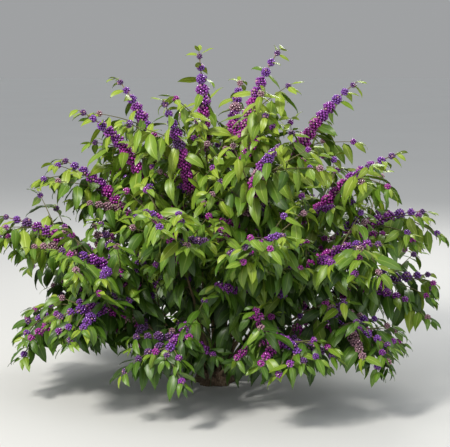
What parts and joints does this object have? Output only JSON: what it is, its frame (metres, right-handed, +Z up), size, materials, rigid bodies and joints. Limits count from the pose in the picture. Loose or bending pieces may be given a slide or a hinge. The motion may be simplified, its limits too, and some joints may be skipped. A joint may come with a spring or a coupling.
{
  "type": "american beautyberry shrub",
  "caption": "Fountain-shaped deciduous shrub in fruit: arching canes from one stool, opposite leaves, violet berries ringing every node.",
  "frame": {"origin": "centre of the flat cut under the stool, at ground level", "axes": "+Z up, -Y the front as pictured, +X to the right as seen from the front"},
  "size_m": [1.9059, 1.536, 1.441],
  "materials": {
    "stool": "rough grey-brown bark",
    "stem": "smooth tan bark",
    "foliage": "matte leaves with glossy violet berries"
  },
  "bodies": {
    "root": {"stool": "stool", "stem_top_left": "stem", "stem_top_right": "stem", "stem_high_left": "stem", "stem_high_back_left": "stem", "stem_high_front_left": "stem", "stem_high_front_right": "stem", "stem_high_right": "stem", "stem_high_back": "stem", "stem_high_back_right": "stem", "stem_left_upper": "stem", "stem_right_upper": "stem", "stem_right": "stem", "stem_front_right": "stem", "stem_front": "stem", "stem_front_left": "stem", "stem_left_front": "stem", "stem_left": "stem", "stem_back_left": "stem", "stem_back": "stem", "stem_back_right": "stem", "stem_low_right": "stem", "stem_low_front_right": "stem", "stem_low_front": "stem", "stem_low_front_left": "stem", "stem_low_left_front": "stem", "stem_low_left": "stem", "stem_low_back_left": "stem", "stem_low_back": "stem", "stem_low_back_right": "stem", "foliage_top_left": "foliage", "foliage_top_right": "foliage", "foliage_high_left": "foliage", "foliage_high_back_left": "foliage", "foliage_high_front_left": "foliage", "foliage_high_front_right": "foliage", "foliage_high_right": "foliage", "foliage_high_back": "foliage", "foliage_high_back_right": "foliage", "foliage_left_upper": "foliage", "foliage_right_upper": "foliage", "foliage_right": "foliage", "foliage_front_right": "foliage", "foliage_front": "foliage", "foliage_front_left": "foliage", "foliage_left_front": "foliage", "foliage_left": "foliage", "foliage_back_left": "foliage", "foliage_back": "foliage", "foliage_back_right": "foliage", "foliage_low_right": "foliage", "foliage_low_front_right": "foliage", "foliage_low_front": "foliage", "foliage_low_front_left": "foliage", "foliage_low_left_front": "foliage", "foliage_low_left": "foliage", "foliage_low_back_left": "foliage", "foliage_low_back": "foliage", "foliage_low_back_right": "foliage"}
  },
  "joints": []
}
